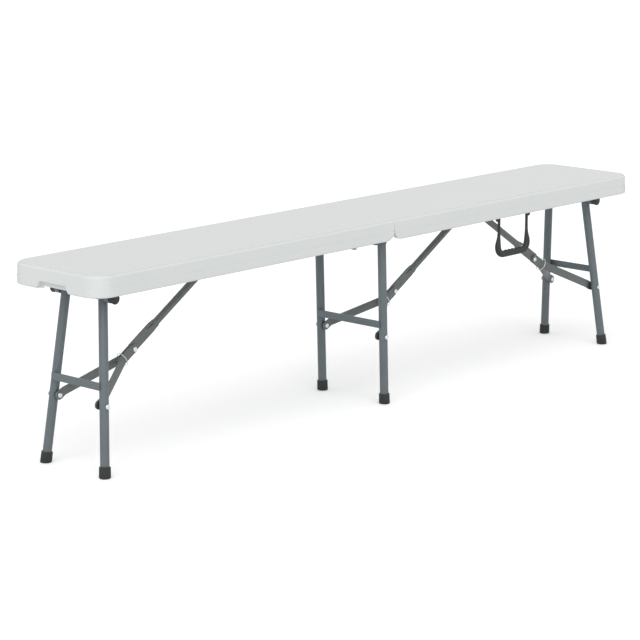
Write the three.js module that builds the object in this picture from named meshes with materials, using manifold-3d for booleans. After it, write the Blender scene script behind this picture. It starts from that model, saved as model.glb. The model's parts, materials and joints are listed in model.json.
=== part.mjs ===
// A folding bench: a blow-moulded seat in two halves on three folding leg frames.
// Millimetres, +Z up, +X along the seat, -Y the carrying-handle side, origin on the floor under the seam.
import * as THREE from "three";
import { mergeVertices } from "three/addons/utils/BufferGeometryUtils.js";
import Module from "manifold-3d";

const wasm = await Module();
wasm.setup();

// Whole bench
const benchLength = 1830;
const benchWidth = 280;
const seatHeight = 440;
const seamGap = 2; // between the two halves when open

// Seat half: one hollow moulding
const edgeDepth = 47; // skirt, from the seat face down
const edgeWall = 14; // double wall of the skirt
const seamWall = 10; // shallower wall at the seam
const seamWallDepth = 39;
const deckThickness = 19;
const skinThickness = 3;
const cornerRadius = 45;
const seamCornerRadius = 6;
const topRound = 5;
const bandDepth = 28; // seat face to the parting step
const bandStep = 1.5; // the lower band stands out by this much
const bandRound = 2;
const seamLowerRadius = 14; // rounded lower corner of each skirt at the seam
const notchWidth = 80; // finger notch in the end skirt
const notchDepth = 15;
const notchSlope = 9;
const pocketLength = 172; // pocket that clears the hanging handle
const pocketDepth = 15;
const pocketWidth = 25;
const ventRadius = 4;
const cavityInset = 22; // from the skirt's inner face to the deck's hollow

// Steel
const legRadius = 10;
const legWall = 1.2;
const pivotTubeRadius = 8;
const pivotTubeWall = 1.2;
const crossbarHeight = 16.5;
const crossbarThickness = 4;
const stripThickness = 3;
const sheetThickness = 2;
const boltRadius = 3;
const boltHeadRadius = 5.5;
const boltHeadHeight = 3;
const crossbarZ = 191;
const gap = 0.3; // between pieces that touch
const play = 0.3; // all round a pin in its hole
const legHead = 11; // leg end above its pivot

// End frames. A drop is taken from the seat face, a margin from the skirt's inner face.
const endPivotInset = 89; // from the seat's end
const endPivotDrop = 63;
const endPivotMargin = 68.9;
const endFootFlare = 36.8; // the feet stand this far outside their pivots
const endFootMargin = 32.7;
const endBoltZ = 150;
const endTubeMargin = 35;
const endElbowRun = 136; // from the pivot towards the middle
const endElbowZ = 233.5;
const endAnchorRun = 373.5;
const endSlide = 41; // the elbow rivet's run in the strut's slot

// Centre frame
const centrePivotX = 1.2;
const centrePivotDrop = 55;
const centreLegMargin = 27.7;
const centreFootX = 12.9;
const centreBoltZ = 160;
const centreTubeMargin = 19;
const centreElbowX = 156.7;
const centreElbowZ = 232.1;
const centreAnchorX = 412.3;
const centreSlide = 51;
const anchorDrop = 48; // every strut's pin at the seat

// Feet and plugs
const footRadius = 12.5;
const footHeight = 24;
const footFloor = 5;
const plugReach = 5; // plug beyond the end of its tube
const plugCover = 7; // plug over the tube
const plugWall = 1.5;
const plugFlare = 2;

// Brace arms and the lock ring
const tabRadius = 10;
const tabFlat = 16; // from the bolt to the first bend
const armHalfHeight = 9.5;
const spacerRadius = 10;
const spacerThickness = 4;
const cheekHalfHeight = 10;
const cheekInner = 2.3; // half the gap between the two cheeks
const cheekLength = 36; // behind the elbow
const cheekLift = 2.7; // the rivet sits this far below the cheek's middle
const rivetRadius = 3;
const rivetHeadRadius = 5.5;
const rivetHeadHeight = 2;
const ringWire = 3;
const ringInner = 13;
const ringBack = 36; // from the elbow to the resting ring
const ringLean = 2; // degrees

// Strut: a round tube, pressed flat where it passes between the cheeks
const strutRadius = 8;
const strutWall = 1.2;
const strutFlatHalf = 2; // half thickness of the pressed end
const strutFlatRise = 12.5; // half its height
const strutFlatEnd = 58; // from the elbow up
const strutRoundStart = 86;
const strutTailRise = 7; // the hidden tail stays below the cheeks' upper edge
const strutTailCover = 5; // tail beyond its slot
const strutShoulder = 6; // full height starts this far below the elbow
const strutOverhang = 10; // tube beyond its anchor pin
const rivetDrop = 4; // elbow rivet below the tube's axis
const seeThroughStart = 54;
const seeThroughLength = 19;
const seeThroughRise = 4;
const seeThroughWidth = 3;

// Brackets under the deck
const saddleLength = 14;
const saddleWall = 2.5;
const saddleMargin = 42.5;
const centreSaddleMargin = 44;
const bracketHalfLength = 26;
const anchorHalfLength = 24;
const anchorEarRound = 8;
const anchorEarRoot = 16;
const bracketPlate = 2;

// Fold-in-half hinge
const hingeDrop = 80;
const hingePinRadius = 2.2;
const knuckleRadius = 4.6;
const knuckleHalf = 20;
const middleKnuckleHalf = 7;
const leafReach = 15; // seam to the leaf's upright
const leafLength = 60;
const leafHalf = 24;
const pinHeadRadius = 4;
const pinHeadHeight = 2;

// Carrying handle: a bail on the front of the right half
const handleMargin = 8;
const handlePivotDrop = 54;
const handleShoulderDrop = 88;
const handleHipDrop = 118;
const handleBottomDrop = 149.5;
const handleArmHalf = 54;
const handleArmWidth = 8;
const handleGripHalf = 64;
const handleGripRise = 16;
const handleThickness = 11;
const handleRound = 26;
const handleBevel = 1.5;
const fingerRibs = 5;
const fingerRibRadius = 8;
const fingerRibRise = 2.5;
const handlePinRadius = 2.2;
const handleEarThickness = 3;
const handleEarRadius = 4.5;

// Facets
const roundSides = 20;
const smallSides = 12;
const cornerSteps = 6;
const overrun = 5;
const mergeDistance = 1e-4;

const edgeBottomZ = seatHeight - edgeDepth;
const ceilingZ = seatHeight - deckThickness;
const halfStart = seamGap / 2;
const halfEnd = benchLength / 2;
const skirtInnerY = benchWidth / 2 - edgeWall;
const radians = THREE.MathUtils.degToRad;

// Places that follow the seat
const endPivotX = halfEnd - endPivotInset;
const endPivotZ = seatHeight - endPivotDrop;
const endPivotSpread = skirtInnerY - endPivotMargin;
const endFootX = endPivotX + endFootFlare;
const endFootSpread = skirtInnerY - endFootMargin;
const endTubeHalf = skirtInnerY - endTubeMargin;
const endElbowX = endPivotX - endElbowRun;
const endAnchorX = endPivotX - endAnchorRun;
const centrePivotZ = seatHeight - centrePivotDrop;
const centreSpread = skirtInnerY - centreLegMargin;
const centreTubeHalf = skirtInnerY - centreTubeMargin;
const anchorZ = seatHeight - anchorDrop;
const saddleInner = skirtInnerY - saddleMargin - saddleLength;
const centreSaddleInner = skirtInnerY - centreSaddleMargin - saddleLength;
const hingeZ = seatHeight - hingeDrop;
const handleX = (halfStart + halfEnd) / 2;
const handleY = handleMargin - skirtInnerY;
const handlePivotZ = seatHeight - handlePivotDrop;
const handleShoulderZ = seatHeight - handleShoulderDrop;
const handleHipZ = seatHeight - handleHipDrop;
const handleBottomZ = seatHeight - handleBottomDrop;

function toSolid(geometry) {
  const bare = new THREE.BufferGeometry();
  bare.setAttribute("position", geometry.getAttribute("position"));
  if (geometry.index) bare.setIndex(geometry.index);
  const merged = mergeVertices(bare, mergeDistance);
  const corners = merged.index.array;
  const faces = [];
  for (let i = 0; i < corners.length; i += 3) {
    const [a, b, c] = [corners[i], corners[i + 1], corners[i + 2]];
    if (a !== b && b !== c && c !== a) faces.push(a, b, c);
  }
  return new wasm.Manifold(new wasm.Mesh({
    numProp: 3,
    vertProperties: merged.attributes.position.array,
    triVerts: new Uint32Array(faces),
  }));
}

function toGeometry(solid) {
  const mesh = solid.getMesh();
  const indexed = new THREE.BufferGeometry();
  indexed.setAttribute("position", new THREE.BufferAttribute(new Float32Array(mesh.vertProperties), 3));
  indexed.setIndex(new THREE.BufferAttribute(new Uint32Array(mesh.triVerts), 1));
  const flat = indexed.toNonIndexed();
  flat.computeVertexNormals();
  return flat;
}

function joined(solids) {
  return solids.reduce((whole, piece) => whole.add(piece));
}

function box(x0, x1, y0, y1, z0, z1) {
  const geometry = new THREE.BoxGeometry(x1 - x0, y1 - y0, z1 - z0);
  geometry.translate((x0 + x1) / 2, (y0 + y1) / 2, (z0 + z1) / 2);
  return toSolid(geometry);
}

// A cylinder along Y, from y0 to y1, with its axis at (x, z).
function rodY(radius, x, z, y0, y1, sides = smallSides) {
  const geometry = new THREE.CylinderGeometry(radius, radius, y1 - y0, sides);
  geometry.translate(x, (y0 + y1) / 2, z);
  return toSolid(geometry);
}

// A shape drawn in X and Z, pushed along Y from y0 to y1.
function plateXZ(shape, y0, y1) {
  const geometry = new THREE.ExtrudeGeometry(shape, {
    depth: y1 - y0, bevelEnabled: false, curveSegments: cornerSteps,
  });
  geometry.rotateX(Math.PI / 2);
  geometry.translate(0, y1, 0);
  return toSolid(geometry);
}

// A shape drawn in X and Y, raised from z0 to z1, with both ends rounded by round.
function plateXY(shape, z0, z1, round = 0, steps = 3) {
  const geometry = new THREE.ExtrudeGeometry(shape, {
    depth: z1 - z0 - 2 * round,
    bevelEnabled: round > 0,
    bevelThickness: round,
    bevelSize: round,
    bevelOffset: -round,
    bevelSegments: steps,
    curveSegments: cornerSteps,
  });
  geometry.translate(0, 0, z0 + round);
  return toSolid(geometry);
}

// A solid of revolution about Z from [radius, z] points that start and end on the axis or close.
function lathe(points, sides = roundSides) {
  const profile = points.map(([radius, z]) => new THREE.Vector2(radius, z));
  const geometry = new THREE.LatheGeometry(profile, sides);
  geometry.rotateX(Math.PI / 2);
  return geometry;
}

function hollowTube(outer, inner, z0, z1, sides = roundSides) {
  return lathe([[inner, z0], [outer, z0], [outer, z1], [inner, z1], [inner, z0]], sides);
}

function alongY(geometry) {
  geometry.rotateX(-Math.PI / 2);
  return geometry;
}

const finishes = {
  seat: { color: 0xdadcda, roughness: 0.5, metalness: 0 },
  steel: { color: 0x69707a, roughness: 0.45, metalness: 0.35 },
  black: { color: 0x2d3030, roughness: 0.6, metalness: 0 },
  zinc: { color: 0xc8cccc, roughness: 0.3, metalness: 0.9 },
};
const materials = Object.fromEntries(
  Object.entries(finishes).map(([name, look]) => [name, new THREE.MeshStandardMaterial(look)]),
);

function piece(parent, name, finish, shape) {
  const geometry = shape.isBufferGeometry ? shape : toGeometry(shape);
  const mesh = new THREE.Mesh(geometry, materials[finish]);
  mesh.name = name;
  parent.add(mesh);
  return mesh;
}

const bench = new THREE.Group();

// Seat halves, drawn for the right half and mirrored for the left one.
function halfOutline(inset, seamInset = inset) {
  const x0 = halfStart + seamInset;
  const x1 = halfEnd - inset;
  const y1 = benchWidth / 2 - inset;
  const big = Math.max(cornerRadius - inset, seamCornerRadius);
  const small = seamInset > 0 ? seamCornerRadius / 2 : seamCornerRadius;
  const outline = new THREE.Shape();
  outline.moveTo(x0 + small, -y1);
  outline.lineTo(x1 - big, -y1);
  outline.absarc(x1 - big, -y1 + big, big, -Math.PI / 2, 0, false);
  outline.lineTo(x1, y1 - big);
  outline.absarc(x1 - big, y1 - big, big, 0, Math.PI / 2, false);
  outline.lineTo(x0 + small, y1);
  outline.absarc(x0 + small, y1 - small, small, Math.PI / 2, Math.PI, false);
  outline.lineTo(x0, -y1 + small);
  outline.absarc(x0 + small, -y1 + small, small, Math.PI, 1.5 * Math.PI, false);
  return outline;
}

function seamCornerCut() {
  const r = seamLowerRadius;
  const corner = new THREE.Shape();
  corner.moveTo(-overrun, edgeBottomZ - overrun);
  corner.lineTo(halfStart + r, edgeBottomZ - overrun);
  corner.lineTo(halfStart + r, edgeBottomZ);
  corner.absarc(halfStart + r, edgeBottomZ + r, r, -Math.PI / 2, -Math.PI, true);
  corner.lineTo(-overrun, edgeBottomZ + r);
  corner.closePath();
  return plateXZ(corner, -benchWidth, benchWidth);
}

function notchCut() {
  const top = edgeBottomZ + notchDepth;
  const foot = notchWidth / 2 + notchSlope;
  const notch = new THREE.Shape();
  notch.moveTo(-foot, edgeBottomZ - overrun);
  notch.lineTo(foot, edgeBottomZ - overrun);
  notch.lineTo(foot, edgeBottomZ);
  notch.lineTo(notchWidth / 2, top);
  notch.lineTo(-notchWidth / 2, top);
  notch.lineTo(-foot, edgeBottomZ);
  notch.closePath();
  const geometry = new THREE.ExtrudeGeometry(notch, {
    depth: edgeWall + 2 * overrun, bevelEnabled: false,
  });
  geometry.rotateX(Math.PI / 2);
  geometry.rotateZ(Math.PI / 2);
  geometry.translate(halfEnd - edgeWall - overrun, 0, 0);
  return toSolid(geometry);
}

function seatHalf() {
  const lowerBand = plateXY(halfOutline(0), edgeBottomZ, seatHeight - bandDepth, bandRound, 1);
  const upperBand = plateXY(
    halfOutline(bandStep, 0), seatHeight - bandDepth - topRound - bandRound, seatHeight, topRound,
  );
  const recess = plateXY(halfOutline(edgeWall, seamWall), edgeBottomZ - overrun, ceilingZ);
  const seamOpening = box(
    -overrun, halfStart + seamWall + overrun,
    -skirtInnerY, skirtInnerY,
    edgeBottomZ - overrun, seatHeight - seamWallDepth,
  );
  const pocket = box(
    handleX - pocketLength / 2, handleX + pocketLength / 2,
    -skirtInnerY, -skirtInnerY + pocketWidth,
    ceilingZ - overrun, ceilingZ + pocketDepth,
  );
  const hollowEdge = edgeWall + cavityInset;
  const hollow = plateXY(
    halfOutline(hollowEdge, hollowEdge), ceilingZ + skinThickness, seatHeight - skinThickness,
  );
  const vent = new THREE.CylinderGeometry(ventRadius, ventRadius, 2 * overrun, smallSides);
  vent.rotateX(Math.PI / 2);
  vent.translate(handleX + pocketLength, 0, ceilingZ + skinThickness - overrun / 2);
  return lowerBand.add(upperBand)
    .subtract(recess)
    .subtract(seamOpening)
    .subtract(seamCornerCut())
    .subtract(notchCut())
    .subtract(pocket)
    .subtract(hollow)
    .subtract(toSolid(vent));
}

const seatShape = seatHalf();
piece(bench, "seat_right", "seat", seatShape);
piece(bench, "seat_left", "seat", seatShape).scale.x = -1;

// Fold-in-half hinge. The right leaf also carries the centre frame's pivot tube.
function leafProfile(reach) {
  const top = ceilingZ - gap;
  const leaf = new THREE.Shape();
  leaf.moveTo(leafReach, top);
  leaf.lineTo(leafReach, hingeZ + knuckleRadius);
  leaf.lineTo(0, hingeZ + knuckleRadius);
  leaf.lineTo(0, hingeZ + knuckleRadius - 2 * sheetThickness);
  leaf.lineTo(leafReach + sheetThickness, hingeZ + knuckleRadius - 2 * sheetThickness);
  leaf.lineTo(leafReach + sheetThickness, top - bracketPlate);
  leaf.lineTo(leafReach + reach, top - bracketPlate);
  leaf.lineTo(leafReach + reach, top);
  leaf.closePath();
  return leaf;
}

function knuckle(y0, y1) {
  return rodY(knuckleRadius, 0, hingeZ, y0, y1, roundSides);
}

function hingeBore() {
  return rodY(hingePinRadius + play, 0, hingeZ, -benchWidth, benchWidth, roundSides);
}

function saddle(pivotX, pivotZ, y0, y1) {
  const outer = pivotTubeRadius + play + saddleWall;
  const top = ceilingZ - gap;
  const strap = new THREE.Shape();
  strap.moveTo(pivotX + outer, top);
  strap.lineTo(pivotX - outer, top);
  strap.lineTo(pivotX - outer, pivotZ);
  strap.absarc(pivotX, pivotZ, outer, Math.PI, 2 * Math.PI, false);
  strap.closePath();
  return plateXZ(strap, y0, y1)
    .subtract(rodY(pivotTubeRadius + play, pivotX, pivotZ, y0 - overrun, y1 + overrun, roundSides));
}

// The centre saddle reaches sideways from the leaf, because the seam wall is above the tube.
function sideSaddle(y0, y1) {
  const outer = pivotTubeRadius + play + saddleWall;
  const top = ceilingZ - gap;
  const strap = new THREE.Shape();
  strap.moveTo(leafReach, top);
  strap.lineTo(leafReach, centrePivotZ + outer);
  strap.lineTo(centrePivotX, centrePivotZ + outer);
  strap.absarc(centrePivotX, centrePivotZ, outer, Math.PI / 2, 1.5 * Math.PI, false);
  strap.lineTo(leafReach + sheetThickness, centrePivotZ - outer);
  strap.lineTo(leafReach + sheetThickness, top);
  strap.closePath();
  return plateXZ(strap, y0, y1).subtract(
    rodY(pivotTubeRadius + play, centrePivotX, centrePivotZ, y0 - overrun, y1 + overrun, roundSides),
  );
}

function rightLeaf() {
  const side = middleKnuckleHalf + gap;
  const profile = leafProfile(leafLength);
  const wing = centreSaddleInner + saddleLength;
  const top = ceilingZ - gap;
  return joined([
    plateXZ(profile, -knuckleHalf, -side),
    plateXZ(profile, side, knuckleHalf),
    knuckle(-knuckleHalf, -side),
    knuckle(side, knuckleHalf),
    box(leafReach, leafReach + leafLength, -wing, wing, top - bracketPlate, top),
    sideSaddle(-wing, -centreSaddleInner),
    sideSaddle(centreSaddleInner, wing),
  ]).subtract(hingeBore());
}

function leftLeaf() {
  const top = ceilingZ - gap;
  return joined([
    plateXZ(leafProfile(leafLength), -middleKnuckleHalf, middleKnuckleHalf),
    knuckle(-middleKnuckleHalf, middleKnuckleHalf),
    box(leafReach, leafReach + leafLength, -leafHalf, leafHalf, top - bracketPlate, top),
  ]).subtract(hingeBore());
}

piece(bench, "hinge_leaf_right", "steel", rightLeaf());
piece(bench, "hinge_leaf_left", "steel", leftLeaf()).scale.x = -1;
piece(bench, "hinge_pin", "zinc", joined([
  rodY(hingePinRadius, 0, hingeZ, -knuckleHalf - gap, knuckleHalf + gap + pinHeadHeight),
  rodY(pinHeadRadius, 0, hingeZ, -knuckleHalf - gap - pinHeadHeight, -knuckleHalf - gap),
]));

// Saddle brackets of the end frames
function endBracket() {
  const top = ceilingZ - gap;
  const outerY = saddleInner + saddleLength;
  return joined([
    box(endPivotX - bracketHalfLength, endPivotX + bracketHalfLength, -outerY, outerY, top - bracketPlate, top),
    saddle(endPivotX, endPivotZ, -outerY, -saddleInner),
    saddle(endPivotX, endPivotZ, saddleInner, outerY),
  ]);
}
const endBracketShape = endBracket();
piece(bench, "leg_bracket_right", "steel", endBracketShape);
piece(bench, "leg_bracket_left", "steel", endBracketShape).scale.x = -1;

// Anchor brackets where the struts meet the seat
function anchorBracket(pinXs) {
  const top = ceilingZ - gap;
  const earInner = strutRadius + gap;
  const earOuter = earInner + sheetThickness;
  const first = Math.min(...pinXs);
  const last = Math.max(...pinXs);
  const plate = box(
    first - anchorHalfLength, last + anchorHalfLength, -earOuter, earOuter, top - bracketPlate, top,
  );
  const ear = (x) => {
    const shape = new THREE.Shape();
    shape.moveTo(x - anchorEarRoot, top);
    shape.lineTo(x - anchorEarRound, anchorZ);
    shape.absarc(x, anchorZ, anchorEarRound, Math.PI, 2 * Math.PI, false);
    shape.lineTo(x + anchorEarRoot, top);
    shape.closePath();
    return [plateXZ(shape, -earOuter, -earInner), plateXZ(shape, earInner, earOuter)];
  };
  const pins = pinXs.map((x) => rodY(rivetRadius, x, anchorZ, -earOuter, earOuter));
  return joined([plate, ...pinXs.flatMap(ear), ...pins]);
}
piece(bench, "strut_anchor_left", "steel", anchorBracket([-endAnchorX]));
piece(bench, "strut_anchor_right", "steel", anchorBracket([centreAnchorX, endAnchorX]));

// One leg frame, drawn with its brace towards +X and its pivot at the group's origin.
// turn is 0, or half a turn for the frame whose brace runs the other way.
function legFrame(name, spec, turn) {
  const frame = new THREE.Group();
  frame.position.set(turn ? -spec.pivotX : spec.pivotX, 0, spec.pivotZ);
  frame.rotation.z = turn;
  bench.add(frame);
  const sideName = (sign) => (sign * (turn ? -1 : 1) < 0 ? "front" : "back");
  const lean = Math.atan2(spec.pivotX - spec.footX, spec.pivotZ);
  const planeLength = spec.pivotZ / Math.cos(lean);
  const splay = Math.atan2(spec.footSpread - spec.pivotSpread, planeLength);
  const legLength = planeLength / Math.cos(splay);
  const plane = new THREE.Group();
  plane.rotation.y = lean;
  frame.add(plane);

  // A solid in the frame's own axes, brought into the axes of one of its groups.
  const within = (group, solid) => {
    bench.updateMatrixWorld(true);
    const toFrame = frame.matrixWorld;
    const toGroup = group.matrixWorld.clone().invert().multiply(toFrame);
    return solid.transform(toGroup.elements);
  };

  const boltDrop = spec.pivotZ - spec.boltZ;
  const boltX = -boltDrop * Math.tan(lean);
  const boltSpread = spec.pivotSpread + (spec.footSpread - spec.pivotSpread) * (boltDrop / spec.pivotZ);
  const floor = box(
    -benchWidth, benchWidth, -benchWidth, benchWidth, -spec.pivotZ - seatHeight, -spec.pivotZ,
  );
  const tubeBore = rodY(
    pivotTubeRadius + play, 0, 0, -benchWidth, benchWidth, roundSides,
  );
  const boltBore = rodY(boltRadius + play, boltX, -boltDrop, -benchWidth, benchWidth);
  const spacerOuterY = boltSpread - legRadius / Math.cos(splay) - spacerRadius * Math.tan(splay) - gap;
  const armOuterY = spacerOuterY - spacerThickness - gap;
  const armInnerY = armOuterY - stripThickness;

  for (const sign of [-1, 1]) {
    const side = sideName(sign);
    const legAxis = new THREE.Group();
    legAxis.position.y = sign * spec.pivotSpread;
    legAxis.rotation.x = sign * splay;
    plane.add(legAxis);
    const legEnd = -legLength + footFloor + gap;
    const tube = toSolid(hollowTube(legRadius, legRadius - legWall, legEnd, legHead));
    piece(legAxis, `${name}_leg_${side}`, "steel",
      tube.subtract(within(legAxis, tubeBore)).subtract(within(legAxis, boltBore)));
    const footBore = legRadius + play;
    const foot = toSolid(lathe([
      [0, -legLength - overrun], [footRadius, -legLength - overrun], [footRadius, -legLength + footHeight],
      [footBore, -legLength + footHeight], [footBore, -legLength + footFloor], [0, -legLength + footFloor],
    ]));
    piece(legAxis, `${name}_foot_${side}`, "black", foot.subtract(within(legAxis, floor)));

    const bolt = new THREE.Group();
    bolt.position.set(boltX, 0, -boltDrop);
    frame.add(bolt);
    const headY = boltSpread + legRadius / Math.cos(splay) + boltHeadRadius * Math.tan(splay) + gap;
    const farY = armInnerY - gap;
    const boltShape = joined([
      rodY(boltRadius, 0, 0, farY - boltHeadHeight, headY + boltHeadHeight),
      rodY(boltHeadRadius, 0, 0, headY, headY + boltHeadHeight),
      rodY(boltHeadRadius, 0, 0, farY - boltHeadHeight, farY),
      rodY(spacerRadius, 0, 0, spacerOuterY - spacerThickness, spacerOuterY, roundSides),
    ]);
    const boltMesh = piece(bolt, `${name}_leg_bolt_${side}`, "zinc", boltShape);
    boltMesh.scale.y = sign;
    if (spec.plugs) {
      const plugEnd = spec.tubeHalf + plugReach;
      const plugStart = spec.tubeHalf - plugCover;
      const plugBore = pivotTubeRadius + play;
      const plug = lathe([
        [0, spec.tubeHalf + gap], [plugBore, spec.tubeHalf + gap], [plugBore, plugStart],
        [plugBore + plugWall, plugStart], [plugBore + plugWall + plugFlare, plugEnd], [0, plugEnd],
      ]);
      piece(frame, `${name}_tube_plug_${side}`, "black", toSolid(alongY(plug))).scale.y = sign;
    }
  }

  const tubeShape = hollowTube(
    pivotTubeRadius, pivotTubeRadius - pivotTubeWall, -spec.tubeHalf, spec.tubeHalf,
  );
  piece(frame, `${name}_pivot_tube`, "steel", alongY(tubeShape));

  const barDrop = spec.pivotZ - crossbarZ;
  const barSpread = spec.pivotSpread + (spec.footSpread - spec.pivotSpread) * (barDrop / spec.pivotZ);
  const barShape = new THREE.BoxGeometry(crossbarThickness, 2 * barSpread, crossbarHeight);
  const bar = piece(plane, `${name}_crossbar`, "steel", barShape);
  bar.position.set(-legRadius - gap - crossbarThickness / 2, 0, -barDrop / Math.cos(lean));

  // Brace: two arms from the bolts to the elbow, then one strut up to its anchor.
  const elbowX = spec.elbowX - spec.pivotX;
  const elbowDrop = spec.pivotZ - spec.elbowZ;
  const armLength = Math.hypot(elbowX - boltX, boltDrop - elbowDrop);
  const armRise = Math.atan2(boltDrop - elbowDrop, elbowX - boltX);
  const strutRun = spec.anchorX - spec.elbowX;
  const strutLift = anchorZ - spec.elbowZ;
  const strutReach = Math.hypot(strutRun, strutLift);
  const strutRise = Math.atan2(strutLift, strutRun) - Math.asin(rivetDrop / strutReach);
  const strutLength = Math.sqrt(strutReach ** 2 - rivetDrop ** 2);
  const brace = new THREE.Group();
  brace.position.set(boltX, 0, -boltDrop);
  brace.rotation.y = -armRise;
  frame.add(brace);
  const elbow = new THREE.Group();
  elbow.position.x = armLength;
  elbow.rotation.y = armRise - strutRise;
  brace.add(elbow);
  const armShape = braceArm(armLength, armOuterY, strutRise - armRise);
  const rivet = elbowRivet();
  const ring = ringHalf();
  for (const sign of [-1, 1]) {
    const side = sideName(sign);
    piece(brace, `${name}_brace_arm_${side}`, "steel", armShape).scale.y = sign;
    piece(elbow, `${name}_elbow_rivet_${side}`, "zinc", rivet).scale.y = sign;
    const ringMesh = piece(elbow, `${name}_lock_ring_${side}`, "zinc", ring);
    ringMesh.scale.y = sign;
    ringMesh.position.set(-ringBack, 0, ringLift());
    ringMesh.rotation.y = radians(-ringLean);
  }
  const strut = piece(elbow, `${name}_strut`, "steel", strutTube(strutLength, spec.slide));
  strut.position.z = rivetDrop;
}

// A flat strip bent inwards, round at the bolt, with its last stretch laid against the strut.
// X runs from the bolt to the elbow, Z is the strip's height, and tilt turns the last stretch.
function braceArm(armLength, outerY, tilt) {
  const cheekOuter = cheekInner + stripThickness;
  const along = new THREE.Vector2(Math.cos(tilt), Math.sin(tilt));
  const up = new THREE.Vector2(-Math.sin(tilt), Math.cos(tilt));
  const end = new THREE.Vector2(armLength, 0).addScaledVector(up, cheekLift);
  const knee = end.clone().addScaledVector(along, -cheekLength);
  const tip = armLength + cheekHalfHeight + overrun;
  const path = new THREE.Shape();
  path.moveTo(-tabRadius, outerY);
  path.lineTo(tabFlat, outerY);
  path.lineTo(knee.x, cheekOuter);
  path.lineTo(tip, cheekOuter);
  path.lineTo(tip, cheekInner);
  path.lineTo(knee.x - stripThickness / 2, cheekInner);
  path.lineTo(tabFlat - stripThickness / 2, outerY - stripThickness);
  path.lineTo(-tabRadius, outerY - stripThickness);
  path.closePath();
  const reach = outerY + overrun;
  const strip = plateXY(path, -reach, reach);
  const neck = tabRadius + tabFlat / 2;
  const cheek = (from, rise) => from.clone().addScaledVector(up, rise);
  const side = new THREE.Shape();
  side.moveTo(neck, -armHalfHeight);
  side.lineTo(cheek(knee, -cheekHalfHeight).x, cheek(knee, -cheekHalfHeight).y);
  side.lineTo(cheek(end, -cheekHalfHeight).x, cheek(end, -cheekHalfHeight).y);
  side.absarc(end.x, end.y, cheekHalfHeight, tilt - Math.PI / 2, tilt + Math.PI / 2, false);
  side.lineTo(cheek(knee, cheekHalfHeight).x, cheek(knee, cheekHalfHeight).y);
  side.lineTo(neck, armHalfHeight);
  side.lineTo(0, tabRadius);
  side.absarc(0, 0, tabRadius, Math.PI / 2, 1.5 * Math.PI, false);
  side.closePath();
  return strip.intersect(plateXZ(side, 0, reach))
    .subtract(rodY(boltRadius + play, 0, 0, 0, reach))
    .subtract(rodY(rivetRadius + play, armLength, 0, 0, reach));
}

function elbowRivet() {
  const seat = cheekInner + stripThickness + gap;
  return joined([
    rodY(rivetRadius, 0, 0, cheekInner + gap, seat + rivetHeadHeight),
    rodY(rivetHeadRadius, 0, 0, seat, seat + rivetHeadHeight, roundSides),
  ]);
}

// The ring hangs on the cheeks' upper edges, either side of the strut.
const ringMiddle = ringInner + ringWire / 2;
const ringTopY = strutFlatHalf + gap + ringWire / 2;
const ringFootY = strutRadius + 2 * gap + ringWire / 2; // clear of the tube while it folds

function ringLift() {
  const reach = ringInner - 2 * gap;
  const cheekOuter = cheekInner + stripThickness;
  return cheekLift + cheekHalfHeight
    - Math.sqrt(reach ** 2 - cheekOuter ** 2) * Math.cos(radians(ringLean));
}

class RingArc extends THREE.Curve {
  constructor(radius, startAngle, endAngle) {
    super();
    this.radius = radius;
    this.startAngle = startAngle;
    this.endAngle = endAngle;
  }
  getPoint(share, target = new THREE.Vector3()) {
    const angle = THREE.MathUtils.lerp(this.startAngle, this.endAngle, share);
    return target.set(0, this.radius * Math.cos(angle), this.radius * Math.sin(angle));
  }
}

// Half of the lock ring. It stops either side of the slot that the strut passes through.
function ringHalf() {
  const foot = -Math.acos(ringFootY / ringMiddle);
  const top = Math.acos(ringTopY / ringMiddle);
  const section = new THREE.Shape();
  section.absarc(0, 0, ringWire / 2, 0, 2 * Math.PI, false);
  return toSolid(new THREE.ExtrudeGeometry(section, {
    steps: 2 * cornerSteps,
    curveSegments: cornerSteps / 2 + 1,
    extrudePath: new RingArc(ringMiddle, foot, top),
    bevelEnabled: false,
  }));
}

// A closed skin over sections along X, each [x, half width, half height, flatness].
function loft(sections) {
  const points = [];
  const faces = [];
  for (const [x, halfWidth, halfHeight, flatness] of sections) {
    for (let k = 0; k < roundSides; k++) {
      const angle = (2 * Math.PI * k) / roundSides;
      const across = THREE.MathUtils.clamp(flatness * Math.cos(angle), -1, 1);
      points.push(x, halfWidth * across, halfHeight * Math.sin(angle));
    }
  }
  for (let i = 0; i < sections.length - 1; i++) {
    for (let k = 0; k < roundSides; k++) {
      const a = i * roundSides + k;
      const b = i * roundSides + ((k + 1) % roundSides);
      faces.push(a, b, b + roundSides, a, b + roundSides, a + roundSides);
    }
  }
  const last = (sections.length - 1) * roundSides;
  for (let k = 1; k < roundSides - 1; k++) {
    faces.push(0, k + 1, k, last, last + k, last + k + 1);
  }
  const geometry = new THREE.BufferGeometry();
  geometry.setAttribute("position", new THREE.BufferAttribute(new Float32Array(points), 3));
  geometry.setIndex(faces);
  return toSolid(geometry);
}

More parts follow.
